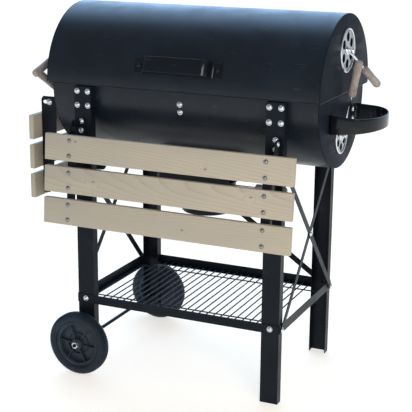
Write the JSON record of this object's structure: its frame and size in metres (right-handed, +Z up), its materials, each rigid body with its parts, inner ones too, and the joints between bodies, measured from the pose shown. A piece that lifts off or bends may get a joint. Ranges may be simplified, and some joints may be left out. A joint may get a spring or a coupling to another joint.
{
  "type": "barrel charcoal smoker on a wheeled trolley",
  "caption": "Horizontal barrel charcoal smoker with hinged lid, lever dampers and folding slatted wooden shelves on a two-wheeled steel trolley.",
  "frame": {"origin": "on the floor, below the middle of the object's bounding box", "axes": "+X along the barrel towards the loop handle, -Y towards the front shelf, +Z up"},
  "size_m": [0.9643, 0.576, 1.0195],
  "materials": {
    "barrel_paint": "semi-gloss black heat-resistant paint",
    "frame_paint": "semi-gloss black powder coat",
    "chrome": "polished chrome plate",
    "zinc_steel": "bright zinc plate",
    "pine": "planed untreated pine",
    "grip_wood": "turned wood, lightly oiled",
    "wheel_plastic": "moulded black plastic",
    "wheel_tyre": "moulded black tread",
    "grate_iron": "dark seasoned steel"
  },
  "bodies": {
    "stand": {"ash_chute": "barrel_paint", "axle": "frame_paint", "axle_nut_front": "zinc_steel", "axle_nut_rear": "zinc_steel", "brace_rear": "frame_paint", "charcoal_grate": "grate_iron", "cooking_grate": "grate_iron", "firebox_cap_left": "barrel_paint", "firebox_cap_right": "barrel_paint", "firebox_rim": "barrel_paint", "firebox_shell": "barrel_paint", "front_lug_left": "frame_paint", "front_lug_right": "frame_paint", "hinge_bracket_left": "frame_paint", "hinge_bracket_right": "frame_paint", "leg_front_left": "frame_paint", "leg_front_right": "frame_paint", "leg_rear_left": "frame_paint", "leg_rear_right": "frame_paint", "loop_handle": "frame_paint", "rail_front": "frame_paint", "rail_left": "frame_paint", "rail_rear": "frame_paint", "rail_right": "frame_paint", "side_lug_front": "frame_paint", "side_lug_rear": "frame_paint", "wire_shelf": "frame_paint", "x_brace_left": "frame_paint", "x_brace_right": "frame_paint"},
    "lid": {"lid_shell": "barrel_paint", "lid_cap_left": "barrel_paint", "lid_cap_right": "barrel_paint", "lid_handle": "frame_paint", "hinge_leaf_left": "frame_paint", "hinge_leaf_right": "frame_paint"},
    "upper_right_damper": {"damper_upper_right": "chrome", "grip_upper_right": "grip_wood"},
    "upper_left_damper": {"damper_upper_left": "chrome", "grip_upper_left": "grip_wood"},
    "lower_right_damper": {"damper_lower_right": "chrome", "grip_lower_right": "grip_wood"},
    "lower_left_damper": {"damper_lower_left": "chrome", "grip_lower_left": "grip_wood"},
    "front_shelf": {"front_slat_1": "pine", "front_slat_2": "pine", "front_slat_3": "pine", "front_arm_left": "frame_paint", "front_arm_right": "frame_paint"},
    "side_shelf": {"side_slat_1": "pine", "side_slat_2": "pine", "side_slat_3": "pine", "side_arm_front": "frame_paint", "side_arm_rear": "frame_paint"},
    "ash_drawer": {"ash_pot": "frame_paint", "ash_pot_rod": "zinc_steel", "ash_pot_grip": "grip_wood"},
    "wheel_front": {"tyre_front": "wheel_tyre", "hub_front": "wheel_plastic"},
    "wheel_rear": {"tyre_rear": "wheel_tyre", "hub_rear": "wheel_plastic"}
  },
  "joints": [
    {"name": "lid_hinge", "type": "hinge", "parent": "stand", "child": "lid", "pos_m": [-0.02235, 0.2225, 0.8165], "axis": [-1, 0, 0], "range_deg": [0, 95]},
    {"name": "upper_right_damper_turn", "type": "hinge", "parent": "lid", "child": "upper_right_damper", "pos_m": [0.36865, 0.01, 0.925], "axis": [1, 0, 0], "range_deg": [0, 36]},
    {"name": "upper_left_damper_turn", "type": "hinge", "parent": "lid", "child": "upper_left_damper", "pos_m": [-0.41335, 0.01, 0.925], "axis": [-1, 0, 0], "range_deg": [0, 36]},
    {"name": "lower_right_damper_turn", "type": "hinge", "parent": "stand", "child": "lower_right_damper", "pos_m": [0.36065, 0.01, 0.698], "axis": [1, 0, 0], "range_deg": [0, 36]},
    {"name": "lower_left_damper_turn", "type": "hinge", "parent": "stand", "child": "lower_left_damper", "pos_m": [-0.40535, 0.01, 0.698], "axis": [-1, 0, 0], "range_deg": [0, 36]},
    {"name": "front_shelf_fold", "type": "hinge", "parent": "stand", "child": "front_shelf", "pos_m": [-0.02235, -0.219, 0.712], "axis": [-1, 0, 0], "range_deg": [0, 85]},
    {"name": "side_shelf_fold", "type": "hinge", "parent": "stand", "child": "side_shelf", "pos_m": [-0.43735, 0.01, 0.75], "axis": [0, 1, 0], "range_deg": [0, 90]},
    {"name": "ash_drawer_slide", "type": "slide", "parent": "stand", "child": "ash_drawer", "axis": [1, 0, 0], "range_m": [0, 0.19]},
    {"name": "front_wheel_spin", "type": "hinge", "parent": "stand", "child": "wheel_front", "pos_m": [-0.30335, -0.238, 0.09], "axis": [0, 1, 0], "continuous": true},
    {"name": "rear_wheel_spin", "type": "hinge", "parent": "stand", "child": "wheel_rear", "pos_m": [-0.30335, 0.258, 0.09], "axis": [0, 1, 0], "continuous": true}
  ]
}
